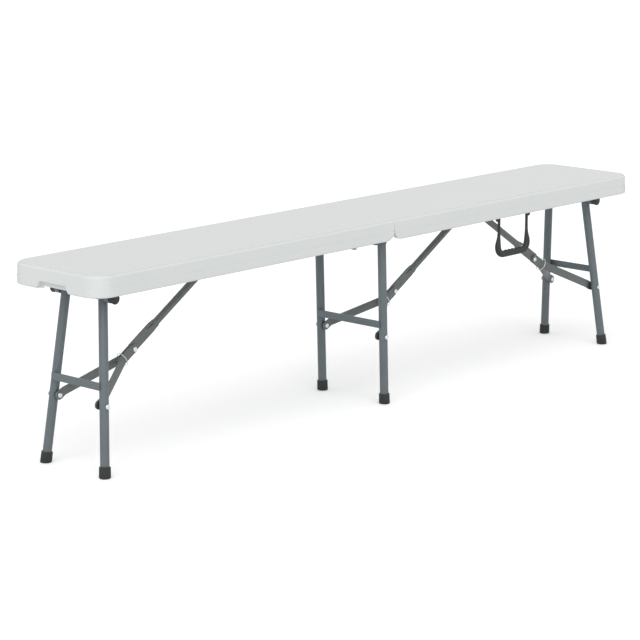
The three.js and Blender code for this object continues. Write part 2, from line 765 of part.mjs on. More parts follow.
// The strut, with X along the tube from the elbow to the anchor pin.
function strutTube(length, slide) {
  const tail = slide + rivetRadius + play + strutTailCover;
  const pressedFlatness = 4;
  const pressSteps = 4;
  const sections = [[-tail, strutFlatHalf, strutFlatRise, pressedFlatness]];
  for (let i = 0; i <= pressSteps; i++) {
    const share = i / pressSteps;
    const ease = THREE.MathUtils.smoothstep(share, 0, 1);
    sections.push([
      THREE.MathUtils.lerp(strutFlatEnd, strutRoundStart, share),
      THREE.MathUtils.lerp(strutFlatHalf, strutRadius, ease),
      THREE.MathUtils.lerp(strutFlatRise, strutRadius, ease),
      THREE.MathUtils.lerp(pressedFlatness, 1, share),
    ]);
  }
  const end = length + strutOverhang;
  sections.push([end, strutRadius, strutRadius, 1]);
  const bore = new THREE.CylinderGeometry(
    strutRadius - strutWall, strutRadius - strutWall, end - strutRoundStart + overrun, roundSides,
  );
  bore.rotateZ(Math.PI / 2);
  bore.translate((end + strutRoundStart + overrun) / 2 + strutWall, 0, 0);
  const slotHalf = rivetRadius + play;
  const slot = new THREE.Shape();
  slot.moveTo(-slide, -rivetDrop - slotHalf);
  slot.lineTo(0, -rivetDrop - slotHalf);
  slot.absarc(0, -rivetDrop, slotHalf, -Math.PI / 2, Math.PI / 2, false);
  slot.lineTo(-slide, -rivetDrop + slotHalf);
  slot.absarc(-slide, -rivetDrop, slotHalf, Math.PI / 2, 1.5 * Math.PI, false);
  const aboveTail = new THREE.Shape();
  aboveTail.moveTo(-tail - overrun, strutTailRise);
  aboveTail.lineTo(-strutShoulder, strutTailRise);
  aboveTail.lineTo(-strutShoulder + gap, strutFlatRise - strutShoulder / 2);
  aboveTail.lineTo(0, strutFlatRise + overrun);
  aboveTail.lineTo(-tail - overrun, strutFlatRise + overrun);
  aboveTail.closePath();
  const across = strutRadius + overrun;
  return loft(sections)
    .subtract(toSolid(bore))
    .subtract(plateXZ(slot, -across, across))
    .subtract(plateXZ(aboveTail, -across, across))
    .subtract(box(
      seeThroughStart, seeThroughStart + seeThroughLength, -across, across,
      seeThroughRise, seeThroughRise + seeThroughWidth,
    ))
    .subtract(rodY(rivetRadius + play, length, 0, -across, across));
}

const endFrame = {
  pivotX: -endPivotX,
  pivotZ: endPivotZ,
  pivotSpread: endPivotSpread,
  footX: -endFootX,
  footSpread: endFootSpread,
  boltZ: endBoltZ,
  tubeHalf: endTubeHalf,
  elbowX: -endElbowX,
  elbowZ: endElbowZ,
  slide: endSlide,
  anchorX: -endAnchorX,
  plugs: true,
};
const centreFrame = {
  pivotX: centrePivotX,
  pivotZ: centrePivotZ,
  pivotSpread: centreSpread,
  footX: centreFootX,
  footSpread: centreSpread,
  boltZ: centreBoltZ,
  tubeHalf: centreTubeHalf,
  elbowX: centreElbowX,
  elbowZ: centreElbowZ,
  slide: centreSlide,
  anchorX: centreAnchorX,
  plugs: false,
};
legFrame("left", endFrame, 0);
legFrame("centre", centreFrame, 0);
legFrame("right", endFrame, Math.PI);

// Carrying handle and the bracket that it hangs from
function handleShape() {
  const armOuter = handleArmHalf + handleArmWidth / 2;
  const armInner = handleArmHalf - handleArmWidth / 2;
  const gripInner = handleGripHalf - handleGripRise;
  const gripTop = handleBottomZ + handleGripRise;
  const bail = new THREE.Shape();
  bail.moveTo(armOuter, handlePivotZ);
  bail.lineTo(armOuter, handleShoulderZ);
  bail.quadraticCurveTo(armOuter, handleHipZ + handleArmWidth, handleGripHalf, handleHipZ);
  bail.lineTo(handleGripHalf, handleBottomZ + handleRound);
  bail.quadraticCurveTo(handleGripHalf, handleBottomZ, handleGripHalf - handleRound, handleBottomZ);
  bail.lineTo(-handleGripHalf + handleRound, handleBottomZ);
  bail.quadraticCurveTo(-handleGripHalf, handleBottomZ, -handleGripHalf, handleBottomZ + handleRound);
  bail.lineTo(-handleGripHalf, handleHipZ);
  bail.quadraticCurveTo(-armOuter, handleHipZ + handleArmWidth, -armOuter, handleShoulderZ);
  bail.lineTo(-armOuter, handlePivotZ);
  bail.absarc(-handleArmHalf, handlePivotZ, handleArmWidth / 2, Math.PI, 0, true);
  bail.lineTo(-armInner, handleShoulderZ);
  bail.quadraticCurveTo(-gripInner, handleHipZ, -gripInner, gripTop + handleArmWidth);
  bail.quadraticCurveTo(-gripInner, gripTop, -gripInner + handleArmWidth, gripTop);
  bail.lineTo(gripInner - handleArmWidth, gripTop);
  bail.quadraticCurveTo(gripInner, gripTop, gripInner, gripTop + handleArmWidth);
  bail.quadraticCurveTo(gripInner, handleHipZ, armInner, handleShoulderZ);
  bail.lineTo(armInner, handlePivotZ);
  bail.absarc(handleArmHalf, handlePivotZ, handleArmWidth / 2, Math.PI, 0, true);
  const half = handleThickness / 2;
  const body = new THREE.ExtrudeGeometry(bail, {
    depth: handleThickness - 2 * handleBevel,
    bevelThickness: handleBevel,
    bevelSize: handleBevel,
    bevelOffset: -handleBevel,
    bevelSegments: 1,
    curveSegments: cornerSteps,
  });
  body.rotateX(Math.PI / 2);
  body.translate(handleX, handleY + half - handleBevel, 0);
  const pitch = (2 * (gripInner - handleArmWidth)) / fingerRibs;
  const ribs = [];
  for (let i = 0; i < fingerRibs; i++) {
    const x = handleX + (i - (fingerRibs - 1) / 2) * pitch;
    ribs.push(rodY(
      fingerRibRadius, x, gripTop + fingerRibRise - fingerRibRadius,
      handleY - half + handleBevel, handleY + half - handleBevel,
    ));
  }
  const pins = [-1, 1].map((sign) => {
    const pin = new THREE.CylinderGeometry(
      handlePinRadius, handlePinRadius, handleArmWidth / 2 + 2 * handleEarThickness, smallSides,
    );
    pin.rotateZ(Math.PI / 2);
    pin.translate(
      handleX + sign * (handleArmHalf + handleArmWidth / 4 + handleEarThickness), handleY, handlePivotZ,
    );
    return toSolid(pin);
  });
  return joined([toSolid(body), ...ribs, ...pins]);
}

function handleBracket() {
  const top = ceilingZ + pocketDepth - gap;
  const earInner = handleArmHalf + handleArmWidth / 2 + gap;
  const earOuter = earInner + handleEarThickness;
  const plate = box(
    handleX - earOuter, handleX + earOuter,
    handleY - handleEarRadius, handleY + handleEarRadius, top - bracketPlate, top,
  );
  const ears = [-1, 1].map((sign) => {
    const inner = handleX + sign * earInner;
    const outer = handleX + sign * earOuter;
    const low = Math.min(inner, outer);
    const high = Math.max(inner, outer);
    const ear = new THREE.CylinderGeometry(handleEarRadius, handleEarRadius, high - low, roundSides);
    ear.rotateZ(Math.PI / 2);
    ear.translate((low + high) / 2, handleY, handlePivotZ);
    const upright = box(
      low, high, handleY - handleEarRadius, handleY + handleEarRadius, handlePivotZ, top,
    );
    return toSolid(ear).add(upright);
  });
  const bore = new THREE.CylinderGeometry(
    handlePinRadius + play, handlePinRadius + play, benchWidth, smallSides,
  );
  bore.rotateZ(Math.PI / 2);
  bore.translate(handleX, handleY, handlePivotZ);
  return joined([plate, ...ears]).subtract(toSolid(bore));
}

piece(bench, "handle", "black", handleShape());
piece(bench, "handle_bracket", "black", handleBracket());

export default bench;
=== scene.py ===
# %% [markdown]
# # A folding bench
# The frame already holds every part of the bench at its real size and place. This lesson dresses it: it
# models the moulded seat, the tubes, the handle and the small steel parts finely, and gives each its finish.

# %% Load the frame
import json
import math

import bmesh
import bpy
from mathutils import Euler, Matrix, Vector

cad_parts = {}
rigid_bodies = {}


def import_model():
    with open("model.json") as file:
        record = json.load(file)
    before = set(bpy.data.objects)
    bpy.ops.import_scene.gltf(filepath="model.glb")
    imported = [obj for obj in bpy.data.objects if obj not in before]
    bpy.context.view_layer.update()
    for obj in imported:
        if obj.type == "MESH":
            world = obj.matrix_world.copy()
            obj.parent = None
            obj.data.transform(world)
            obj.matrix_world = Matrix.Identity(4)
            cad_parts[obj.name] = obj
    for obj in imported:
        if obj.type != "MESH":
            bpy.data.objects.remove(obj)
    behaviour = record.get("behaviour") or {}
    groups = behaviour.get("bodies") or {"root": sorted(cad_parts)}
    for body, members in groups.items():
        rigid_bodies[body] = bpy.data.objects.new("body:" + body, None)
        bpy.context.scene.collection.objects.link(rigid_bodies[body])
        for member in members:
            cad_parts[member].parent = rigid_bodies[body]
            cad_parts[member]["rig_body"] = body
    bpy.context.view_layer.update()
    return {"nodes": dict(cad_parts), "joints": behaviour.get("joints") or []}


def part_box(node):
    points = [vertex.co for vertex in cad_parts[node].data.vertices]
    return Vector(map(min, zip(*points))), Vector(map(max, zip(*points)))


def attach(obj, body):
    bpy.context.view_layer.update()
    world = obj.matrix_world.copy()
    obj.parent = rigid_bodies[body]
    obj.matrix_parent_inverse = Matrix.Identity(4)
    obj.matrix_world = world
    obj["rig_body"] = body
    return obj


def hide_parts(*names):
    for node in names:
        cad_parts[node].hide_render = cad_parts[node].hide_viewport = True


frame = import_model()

millimetre = 0.001

# %% [markdown]
# ## Camera
# The bench was photographed from far off with a long lens, a little above the seat. A long lens keeps
# the far end almost as large as the near one. We turn the camera with three angles: how far round the bench
# it stands, how far it looks down, and a small roll.

# %% Place the camera
camera_place = Vector((-4.3356, -3.9342, 1.4596))
camera_round = math.radians(-47.102)
camera_down = math.radians(12.269)
camera_roll = math.radians(0.074)
lens_length = 144.0
furthest_seen = 200

bpy.ops.object.camera_add(location=camera_place)
camera = bpy.context.object
camera.data.lens = lens_length
camera.data.clip_end = furthest_seen
upright = Matrix.Rotation(camera_round, 4, "Z") @ Matrix.Rotation(math.pi / 2 - camera_down, 4, "X")
camera.matrix_world = Matrix.Translation(camera_place) @ upright @ Matrix.Rotation(-camera_roll, 4, "Z")
bpy.context.scene.camera = camera
print("camera stands", round(camera_place.length, 2), "m away")

# %% [markdown]
# ## A helper for materials
# Every finish here is built from nodes. One small function adds a node, sets what we name, and links the
# sockets that we pass in. Colours are written as sRGB hex values and turned to linear light once, with full
# opacity as the fourth value.

# %% Colour and node helpers
def linear(hex_colour):
    parts = [int(hex_colour[i:i + 2], 16) / 255 for i in (1, 3, 5)]
    return [c / 12.92 if c <= 0.04045 else ((c + 0.055) / 1.055) ** 2.4 for c in parts] + [1.0]


def add_node(tree, kind, inputs=None, **settings):
    node = tree.nodes.new(kind)
    for name, value in settings.items():
        setattr(node, name, value)
    for socket, value in (inputs or {}).items():
        if isinstance(value, bpy.types.NodeSocket):
            tree.links.new(value, node.inputs[socket])
        else:
            node.inputs[socket].default_value = value
    return node


def new_material(name):
    material = bpy.data.materials.new(name)
    material.use_nodes = True
    material.node_tree.nodes.clear()
    return material, material.node_tree


def per_metre(size_in_mm):
    return 1 / (size_in_mm * millimetre)


print("mid grey in linear light:", [round(c, 3) for c in linear("#808080")])

# %% [markdown]
# ## Light and floor
# A packshot of a pale product needs light from all round, so that no side goes dark. A white world gives
# most of it, and one very wide sun from the camera's side adds a soft direction. The floor is matt white and
# lies a hair below the feet. For the camera alone it glows a little, which brings the unshadowed floor to
# white and keeps the shadow.

# %% Light the studio
world_level = 0.635
sun_level = 1.5
sun_from = Euler((math.radians(45), 0, math.radians(-51)))
sun_width = math.radians(70)

world = bpy.data.worlds.new("studio_sky")
world.use_nodes = True
bpy.context.scene.world = world
sky = world.node_tree
sky.nodes.clear()
path = add_node(sky, "ShaderNodeLightPath")
straight = add_node(sky, "ShaderNodeMath", {0: path.outputs["Is Camera Ray"],
                                            1: path.outputs["Is Glossy Ray"]}, operation="MAXIMUM")
seen = add_node(sky, "ShaderNodeMath", {0: straight.outputs[0],
                                        1: path.outputs["Is Transmission Ray"]}, operation="MAXIMUM")
level = add_node(sky, "ShaderNodeMapRange", {"Value": seen.outputs[0], "To Min": world_level, "To Max": 1.0})
glow = add_node(sky, "ShaderNodeBackground", {"Color": linear("#FFFFFF"), "Strength": level.outputs[0]})
add_node(sky, "ShaderNodeOutputWorld", {"Surface": glow.outputs[0]})

bpy.ops.object.light_add(type="SUN", rotation=sun_from)
sun = bpy.context.object
sun.data.energy = sun_level
sun.data.angle = sun_width
print("world", world_level, "sun", sun_level)

# %% Lay the floor
floor_half = 40.0
floor_gap = 0.4 * millimetre
floor_lift = 0.26

bpy.ops.mesh.primitive_plane_add(size=2 * floor_half, location=(0, 0, -floor_gap))
floor = bpy.context.object
floor.name = "studio_floor"
floor_paint, tree = new_material("matt_floor_paint")
rays = add_node(tree, "ShaderNodeLightPath")
matt = add_node(tree, "ShaderNodeBsdfDiffuse", {"Color": linear("#F4F4F4"), "Roughness": 0.0})
lift = add_node(tree, "ShaderNodeMath", {0: rays.outputs["Is Camera Ray"], 1: floor_lift},
                operation="MULTIPLY")
shine = add_node(tree, "ShaderNodeEmission", {"Color": linear("#FFFFFF"), "Strength": lift.outputs[0]})
both = add_node(tree, "ShaderNodeAddShader", {0: matt.outputs[0], 1: shine.outputs[0]})
add_node(tree, "ShaderNodeOutputMaterial", {"Surface": both.outputs[0]})
floor.data.materials.append(floor_paint)
print("floor laid at z =", floor.location.z)

# %% [markdown]
# ## Blow-moulded HDPE
# The seat is polyethylene, blown against the walls of a mould. That leaves a pale, slightly waxy skin with
# a fine pebble grain, broad shallow waves where the wall cooled unevenly, and a few rubbed marks. The grain's
# cells are about 3 mm wide, which is drawn a little coarse so that it shows.

# %% Make the seat plastic
def moulded_polyethylene():
    material, tree = new_material("blow_moulded_hdpe")
    place = add_node(tree, "ShaderNodeTexCoord").outputs["Object"]
    cloud = add_node(tree, "ShaderNodeTexNoise", {"Vector": place, "Scale": per_metre(90), "Detail": 4.0})
    tone = add_node(tree, "ShaderNodeMix", {"Factor": cloud.outputs["Fac"], "A": linear("#D5D9D7"),
                                            "B": linear("#D9DCDB")}, data_type="RGBA")
    stretched = add_node(tree, "ShaderNodeMapping", {"Vector": place, "Scale": (1.0, 6.0, 6.0)})
    rub = add_node(tree, "ShaderNodeTexNoise", {"Vector": stretched.outputs[0], "Scale": per_metre(45),
                                                "Detail": 6.0, "Roughness": 0.7})
    rubbed = add_node(tree, "ShaderNodeMapRange", {"Value": rub.outputs["Fac"], "From Min": 0.6,
                                                   "From Max": 0.72, "To Min": 0.0, "To Max": 0.35})
    worn = add_node(tree, "ShaderNodeMix", {"Factor": rubbed.outputs[0], "A": tone.outputs[2],
                                            "B": linear("#CBD0CE")}, data_type="RGBA")
    gloss = add_node(tree, "ShaderNodeMapRange", {"Value": cloud.outputs["Fac"], "From Min": 0.3,
                                                  "From Max": 0.7, "To Min": 0.46, "To Max": 0.58})
    pebble = add_node(tree, "ShaderNodeTexVoronoi", {"Vector": place, "Scale": per_metre(3.2)},
                      feature="SMOOTH_F1")
    grain = add_node(tree, "ShaderNodeBump", {"Height": pebble.outputs["Distance"], "Strength": 0.5,
                                              "Distance": 0.25 * millimetre})
    swell = add_node(tree, "ShaderNodeTexNoise", {"Vector": place, "Scale": per_metre(140), "Detail": 1.0})
    waves = add_node(tree, "ShaderNodeBump", {"Height": swell.outputs["Fac"], "Strength": 0.6,
                                              "Distance": 2 * millimetre, "Normal": grain.outputs[0]})
    skin = add_node(tree, "ShaderNodeBsdfPrincipled", {
        "Base Color": worn.outputs[2], "Roughness": gloss.outputs[0], "IOR": 1.54,
        "Normal": waves.outputs[0]})
    add_node(tree, "ShaderNodeOutputMaterial", {"Surface": skin.outputs[0]})
    return material


seat_plastic = moulded_polyethylene()
print("seat:", seat_plastic.name)

# %% [markdown]
# ## Powder-coated steel
# The tubes and strips are steel under a baked grey powder coat. Close to, it has the low ripple of orange
# peel, and its sheen changes a little from place to place, with a few small chips that show paler. The braces
# get a copy with a greener grey, which is painted shade: it stands for the tint that they take in the shade
# under the seat.

# %% Make the powder coat
def powder_coat(name, dark, light):
    material, tree = new_material(name)
    place = add_node(tree, "ShaderNodeTexCoord").outputs["Object"]
    drift = add_node(tree, "ShaderNodeTexNoise", {"Vector": place, "Scale": per_metre(40), "Detail": 3.0})
    tone = add_node(tree, "ShaderNodeMix", {"Factor": drift.outputs["Fac"], "A": linear(dark),
                                            "B": linear(light)}, data_type="RGBA")
    speck = add_node(tree, "ShaderNodeTexNoise", {"Vector": place, "Scale": per_metre(6), "Detail": 8.0,
                                                  "Roughness": 0.75})
    chips = add_node(tree, "ShaderNodeMapRange", {"Value": speck.outputs["Fac"], "From Min": 0.66,
                                                  "From Max": 0.72, "To Min": 0.0, "To Max": 0.4})
    worn = add_node(tree, "ShaderNodeMix", {"Factor": chips.outputs[0], "A": tone.outputs[2],
                                            "B": linear("#868E93")}, data_type="RGBA")
    gloss = add_node(tree, "ShaderNodeMapRange", {"Value": drift.outputs["Fac"], "From Min": 0.3,
                                                  "From Max": 0.7, "To Min": 0.34, "To Max": 0.46})
    peel = add_node(tree, "ShaderNodeTexNoise", {"Vector": place, "Scale": per_metre(1.6), "Detail": 2.0})
    ripple = add_node(tree, "ShaderNodeBump", {"Height": peel.outputs["Fac"], "Strength": 0.35,
                                               "Distance": 0.15 * millimetre})
    coat = add_node(tree, "ShaderNodeBsdfPrincipled", {
        "Base Color": worn.outputs[2], "Roughness": gloss.outputs[0], "IOR": 1.5, "Metallic": 0.0,
        "Normal": ripple.outputs[0]})
    add_node(tree, "ShaderNodeOutputMaterial", {"Surface": coat.outputs[0]})
    return material


leg_steel = powder_coat("powder_coated_steel", "#5C666A", "#697277")
# The braces' copy has a greener grey, which is painted shade: the tint of the shade under the seat.
brace_steel_painted_shade = powder_coat("powder_coated_strip", "#5E6564", "#6B7170")
print("frames:", leg_steel.name, brace_steel_painted_shade.name)

# %% [markdown]
# ## Zinc-plated wire and black plastic
# Rivets, bolts and lock rings are bright zinc, with fine crystals in the plating that scatter the light. The
# feet, plugs, the discs beside the leg bolts and the handle are black polypropylene with a spark-eroded grain
# of about a millimetre.

# %% Make the zinc and the black plastic
def bright_zinc():
    material, tree = new_material("bright_zinc_plate")
    place = add_node(tree, "ShaderNodeTexCoord").outputs["Object"]
    crystals = add_node(tree, "ShaderNodeTexVoronoi", {"Vector": place, "Scale": per_metre(2.5)})
    tone = add_node(tree, "ShaderNodeMix", {"Factor": crystals.outputs["Distance"], "A": linear("#F3F5F6"),
                                            "B": linear("#DDE1E4")}, data_type="RGBA")
    gloss = add_node(tree, "ShaderNodeMapRange", {"Value": crystals.outputs["Distance"], "From Max": 0.8,
                                                  "To Min": 0.22, "To Max": 0.4})
    brush = add_node(tree, "ShaderNodeTexNoise", {"Vector": place, "Scale": per_metre(0.8), "Detail": 2.0})
    marks = add_node(tree, "ShaderNodeBump", {"Height": brush.outputs["Fac"], "Strength": 0.2,
                                              "Distance": 0.05 * millimetre})
    plate = add_node(tree, "ShaderNodeBsdfPrincipled", {
        "Base Color": tone.outputs[2], "Metallic": 1.0, "Roughness": gloss.outputs[0],
        "Normal": marks.outputs[0]})
    add_node(tree, "ShaderNodeOutputMaterial", {"Surface": plate.outputs[0]})
    return material


def grained_polypropylene():
    material, tree = new_material("black_polypropylene")
    place = add_node(tree, "ShaderNodeTexCoord").outputs["Object"]
    cloud = add_node(tree, "ShaderNodeTexNoise", {"Vector": place, "Scale": per_metre(18), "Detail": 5.0})
    tone = add_node(tree, "ShaderNodeMix", {"Factor": cloud.outputs["Fac"], "A": linear("#202423"),
                                            "B": linear("#323533")}, data_type="RGBA")
    gloss = add_node(tree, "ShaderNodeMapRange", {"Value": cloud.outputs["Fac"], "From Min": 0.3,
                                                  "From Max": 0.7, "To Min": 0.48, "To Max": 0.66})
    spark = add_node(tree, "ShaderNodeTexNoise", {"Vector": place, "Scale": per_metre(1), "Detail": 3.0})
    grain = add_node(tree, "ShaderNodeBump", {"Height": spark.outputs["Fac"], "Strength": 0.5,
                                              "Distance": 0.12 * millimetre})
    skin = add_node(tree, "ShaderNodeBsdfPrincipled", {
        "Base Color": tone.outputs[2], "Roughness": gloss.outputs[0], "IOR": 1.49,
        "Normal": grain.outputs[0]})
    add_node(tree, "ShaderNodeOutputMaterial", {"Surface": skin.outputs[0]})
    return material


zinc = bright_zinc()
black_plastic = grained_polypropylene()
finish_of = {"seat_plastic": seat_plastic, "leg_steel": leg_steel, "zinc": zinc,
             "black_plastic": black_plastic}
print("finishes:", ", ".join(finish_of))

# %% [markdown]
# ## Tools for modelling
# An operator works on whatever is selected, so each step starts by clearing the selection, which `alone`
# does. `settle` puts a piece's place, turn and size into its mesh. `choose` picks faces, edges or corners by
# their place and direction, as a modeller would pick them by eye.

# %% Select and settle
def alone(piece):
    if bpy.context.object and bpy.context.object.mode != "OBJECT":
        bpy.ops.object.mode_set(mode="OBJECT")
    bpy.ops.object.select_all(action="DESELECT")
    piece.select_set(True)
    bpy.context.view_layer.objects.active = piece


def settle(piece):
    alone(piece)
    bpy.ops.object.transform_apply(location=True, rotation=True, scale=True)


def edit(piece):
    alone(piece)
    bpy.ops.object.mode_set(mode="EDIT")


def leave_edit():
    bpy.ops.object.mode_set(mode="OBJECT")


def select_everything():
    bpy.ops.mesh.select_all(action="SELECT")


def face_outwards():
    select_everything()
    bpy.ops.mesh.normals_make_consistent(inside=False)


def choose(piece, kind, test):
    """Selects what passes test(centre, direction), where direction is a normal or an edge's line."""
    bpy.ops.mesh.select_mode(type=kind)
    bpy.ops.mesh.select_all(action="DESELECT")
    mesh = bmesh.from_edit_mesh(piece.data)
    if kind == "FACE":
        for face in mesh.faces:
            face.select_set(test(face.calc_center_median(), face.normal))
    elif kind == "EDGE":
        for edge in mesh.edges:
            a, b = (v.co for v in edge.verts)
            edge.select_set(test((a + b) / 2, (b - a).normalized()))
    else:
        for corner in mesh.verts:
            corner.select_set(test(corner.co, corner.normal))
    mesh.select_flush_mode()
    bmesh.update_edit_mesh(piece.data)


print("helpers to select with are ready")

# %% [markdown]
# Modifiers do what would be slow by hand. `modify` adds one and applies it at once, `cut` takes a tool's
# shape out of a piece, and `soften` rounds the edges that turn by more than a set angle. `hand_over` then
# finishes a piece: it shades what turns by less than that angle smooth, gives the finish, and ties the piece
# to the body that it moves with.

# %% Modify and hand over
round_below = math.radians(34)


def modify(piece, kind, **settings):
    alone(piece)
    modifier = piece.modifiers.new(kind.lower(), kind)
    for name, value in settings.items():
        setattr(modifier, name, value)
    bpy.ops.object.modifier_apply(modifier=modifier.name)


def cut(piece, tool):
    modify(piece, "BOOLEAN", object=tool, operation="DIFFERENCE", solver="EXACT")
    bpy.data.objects.remove(tool)


def soften(piece, width, segments=2):
    modify(piece, "BEVEL", width=width, segments=segments, limit_method="ANGLE",
           angle_limit=round_below, use_clamp_overlap=True)


def hand_over(piece, name, slot, body, *nodes):
    settle(piece)
    bpy.ops.object.shade_smooth_by_angle(angle=round_below)
    piece.name = name
    piece.data.name = name
    piece.data.materials.clear()
    piece.data.materials.append(finish_of[slot])
    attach(piece, body)
    if nodes:
        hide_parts(*nodes)
    return piece


print("edges that turn more than", round(math.degrees(round_below)), "degrees stay sharp")

# %% [markdown]
# ## The seat halves
# A blow-moulded seat is one thin-walled shell. Its skirt hangs down all round, steps out by a hair at the
# parting line of the mould, and has a deck with rows of tack-offs below, where the two skins are pressed
# together for strength. We draw the outline once, raise it in two stages, and cut the hollow out from
# below with a tool that carries the tack-offs on its top face.

# %% Seat sizes
seat_low, seat_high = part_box("seat_right")
seam_x = seat_low.x
seat_end = seat_high.x
seat_half_width = seat_high.y
skirt_bottom = seat_low.z
seat_top = seat_high.z
deck_under = seat_top - 19 * millimetre
step_height = seat_top - 28 * millimetre
step_out = 1.5 * millimetre
seam_edge = 0.25 * millimetre
end_corner = 45 * millimetre
top_round = 5 * millimetre
lower_round = 4 * millimetre
panel_rise = 1.4 * millimetre
panel_margin = 0.4 * millimetre
panel_inset = step_out + top_round + panel_margin
skirt_wall = 14 * millimetre
skirt_inside = seat_half_width - skirt_wall
seam_wall = 10 * millimetre
seam_wall_bottom = seat_top - 39 * millimetre
seam_lower_round = 25 * millimetre
seat_edge_round = 0.5 * millimetre
overrun = 5 * millimetre
print("one half:", [round(v / millimetre) for v in seat_high - seat_low], "mm")

# %% [markdown]
# A slab starts as a flat sheet whose two outer corners are bevelled into arcs. Extruding the sheet gives
# the solid. At the seam the corners stay square, because there the two halves meet. A box does for the plain
# cuts. Where a tool enters a piece it starts a few millimetres outside, so that it cuts cleanly.

# %% Raise a slab
def rounded_sheet(x0, x1, half_width, z, end_radius):
    bpy.ops.mesh.primitive_plane_add(size=1, location=((x0 + x1) / 2, 0, z))
    sheet = bpy.context.object
    sheet.scale = (x1 - x0, 2 * half_width, 1)
    settle(sheet)
    edit(sheet)
    middle = (x0 + x1) / 2
    choose(sheet, "VERT", lambda at, _: at.x > middle)
    bpy.ops.mesh.bevel(offset=end_radius, affect="VERTICES", segments=14, profile=0.5)
    select_everything()
    return sheet


def lift_sheet(height):
    bpy.ops.mesh.extrude_region_move(TRANSFORM_OT_translate={"value": (0, 0, height)})


def box_tool(x0, x1, y0, y1, z0, z1):
    bpy.ops.mesh.primitive_cube_add(size=1, location=((x0 + x1) / 2, (y0 + y1) / 2, (z0 + z1) / 2))
    tool = bpy.context.object
    tool.scale = (x1 - x0, y1 - y0, z1 - z0)
    settle(tool)
    return tool


print("corners of", round(end_corner / millimetre), "mm at the bench's end")

# %% [markdown]
# The tool for the hollow is a slab too. Its top face is split into a grid with the bisect operator, and the
# cells of the tack-offs are inset twice with some depth, which gives each a sloping wall and a dished floor.
# Cells are left out where brackets and the carrying handle need flat deck or a deeper pocket. The places in
# this cell are in whole millimetres, counted from the seam and from the bench's middle line.

# %% Place the tack-offs
tack_rows = (-96, -40, 40, 96)
tack_start = 125
tack_stop = 880
tack_pitch = 58
tack_length = 34
tack_width = 22
handle_x = 458
pocket_length = 172
pocket_width = 25
pocket_margin = 4
middle_band = 60
saddle_start = 780
busy_stretches = ((0, 100), (380, 480), (770, 900))


def tack_places():
    places = []
    for x in range(tack_start, tack_stop, tack_pitch):
        for y in tack_rows:
            to_handle = abs(x - handle_x) - (pocket_length + tack_length) / 2
            by_handle = y == tack_rows[0] and to_handle < pocket_margin
            under_bracket = abs(y) < middle_band and any(a < x < b for a, b in busy_stretches)
            under_saddle = abs(y) > middle_band and x > saddle_start
            if not (by_handle or under_bracket or under_saddle):
                places.append((x, y))
    return places


print("tack-offs in one half:", len(tack_places()))

# %% Make the tool for the hollow
tack_depth = 5 * millimetre
tack_slope = 4 * millimetre
tack_floor_slope = 2 * millimetre
tack_floor_depth = millimetre
tack_reach = 3 * millimetre


def split_at(point, direction):
    select_everything()
    bpy.ops.mesh.bisect(plane_co=point, plane_no=direction)


def hollow_tool():
    tool = rounded_sheet(seam_x + seam_wall, seat_end - skirt_wall, skirt_inside,
                         skirt_bottom - overrun, end_corner - skirt_wall)
    lift_sheet(deck_under - skirt_bottom + overrun)
    face_outwards()
    places = tack_places()
    for x in sorted({x for x, _ in places}):
        for side in (-0.5, 0.5):
            split_at(((x + side * tack_length) * millimetre, 0, 0), (1, 0, 0))
    for y in tack_rows:
        for side in (-0.5, 0.5):
            split_at((0, (y + side * tack_width) * millimetre, 0), (0, 1, 0))

    def is_tack(at, normal):
        return normal.z > 0.9 and any(abs(at.x - x * millimetre) < tack_reach
                                      and abs(at.y - y * millimetre) < tack_reach for x, y in places)
    choose(tool, "FACE", is_tack)
    bpy.ops.mesh.inset(thickness=tack_slope, depth=tack_depth, use_individual=True)
    bpy.ops.mesh.inset(thickness=tack_floor_slope, depth=tack_floor_depth, use_individual=True)
    leave_edit()
    return tool


print("each tack-off is", round((tack_depth + tack_floor_depth) / millimetre), "mm deep")

# %% [markdown]
# Now the half itself. After the outline is raised to the parting line it is inset, so that the lower band
# stands proud, and raised again to the seat face. A frame cut from the top leaves the sitting panel a little
# proud of the rim, which then gets a soft round. Its small riser draws the fine line along the seat's edge.
# An edge within a hair of a height counts as lying there.

# %% Raise the outline and round its rims
hair = 0.1 * millimetre


def depth_inside(at):
    """How far a point lies inside the half's outline, seen from above."""
    past_x = at.x - (seat_end - end_corner)
    past_y = abs(at.y) - (seat_half_width - end_corner)
    if past_x > 0 and past_y > 0:
        return end_corner - math.hypot(past_x, past_y)
    return min(seat_end - at.x, seat_half_width - abs(at.y))


def raised_outline():
    body = rounded_sheet(seam_x, seat_end, seat_half_width, skirt_bottom, end_corner)
    lift_sheet(step_height - skirt_bottom)
    bpy.ops.mesh.inset(thickness=step_out, depth=0)
    mesh = bmesh.from_edit_mesh(body.data)
    for corner in {v for f in mesh.faces if f.select for v in f.verts}:
        if corner.co.x < seam_x + 2 * step_out:
            corner.co.x = seam_edge
    bmesh.update_edit_mesh(body.data)
    lift_sheet(seat_top - step_height)
    face_outwards()
    leave_edit()
    return body


def upright_slab(x0, x1, half_width, low, high, end_radius):
    slab = rounded_sheet(x0, x1, half_width, low, end_radius)
    lift_sheet(high - low)
    face_outwards()
    leave_edit()
    return slab


def rim_tool():
    """The frame that is cut from the top, so that the sitting panel stands proud of the rim."""
    around = upright_slab(seam_x - overrun, seat_end + overrun, seat_half_width + overrun,
                          seat_top - panel_rise, seat_top + overrun, end_corner + overrun)
    core = upright_slab(seam_x - 2 * overrun, seat_end - panel_inset, seat_half_width - panel_inset,
                        seat_top - overrun, seat_top + 2 * overrun, end_corner - panel_inset)
    cut(around, core)
    return around


